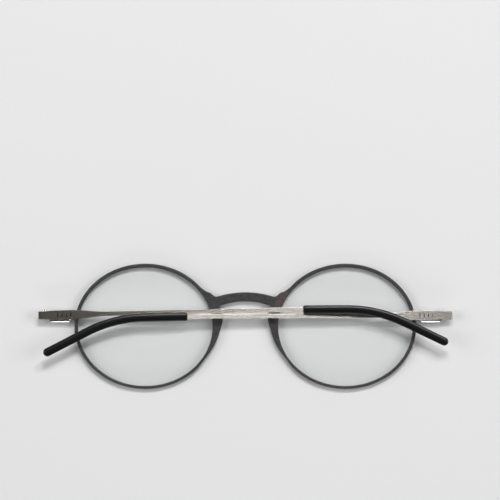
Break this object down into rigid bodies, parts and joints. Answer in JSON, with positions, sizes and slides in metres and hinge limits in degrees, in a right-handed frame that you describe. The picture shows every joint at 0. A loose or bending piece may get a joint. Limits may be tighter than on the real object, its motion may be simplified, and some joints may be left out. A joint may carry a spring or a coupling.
{
  "type": "folding reading glasses",
  "caption": "Round-lens reading glasses with a thin dark front, clear lenses and flat steel temples with black sleeves that fold across the back on screw hinges.",
  "frame": {"origin": "middle of the bridge, on the flat front face of the front frame", "axes": "+X along the front, +Y towards the brow, +Z out of the back of the lenses towards the wearer"},
  "size_m": [0.1421, 0.043, 0.0077],
  "materials": {
    "frame_plastic": "satin dark grey moulded plastic with a fine grain",
    "lens_plastic": "clear polished lens plastic",
    "temple_steel": "thin sheet steel brushed along its length",
    "hinge_steel": "polished hinge steel",
    "sleeve_rubber": "smooth black rubber with a soft sheen"
  },
  "bodies": {
    "front": {"front_frame": "frame_plastic", "lens_left": "lens_plastic", "lens_right": "lens_plastic", "hinge_leaf_left": "hinge_steel", "hinge_leaf_right": "hinge_steel", "leaf_rivet_left_inner": "hinge_steel", "leaf_rivet_left_outer": "hinge_steel", "leaf_rivet_right_inner": "hinge_steel", "leaf_rivet_right_outer": "hinge_steel"},
    "left_temple": {"temple_band_left": "temple_steel", "temple_sleeve_left": "sleeve_rubber", "hinge_screw_left": "hinge_steel"},
    "right_temple": {"temple_band_right": "temple_steel", "temple_sleeve_right": "sleeve_rubber", "hinge_screw_right": "hinge_steel"}
  },
  "joints": [
    {"name": "left_temple_hinge", "type": "hinge", "parent": "front", "child": "left_temple", "pos_m": [-0.0689, -0.0063, 0.0022], "axis": [0.0236, -0.9997, 0], "range_deg": [0, 92]},
    {"name": "right_temple_hinge", "type": "hinge", "parent": "front", "child": "right_temple", "pos_m": [0.0689, -0.0063, 0.0022], "axis": [-0.0035, 1, 0], "range_deg": [0, 92]}
  ]
}
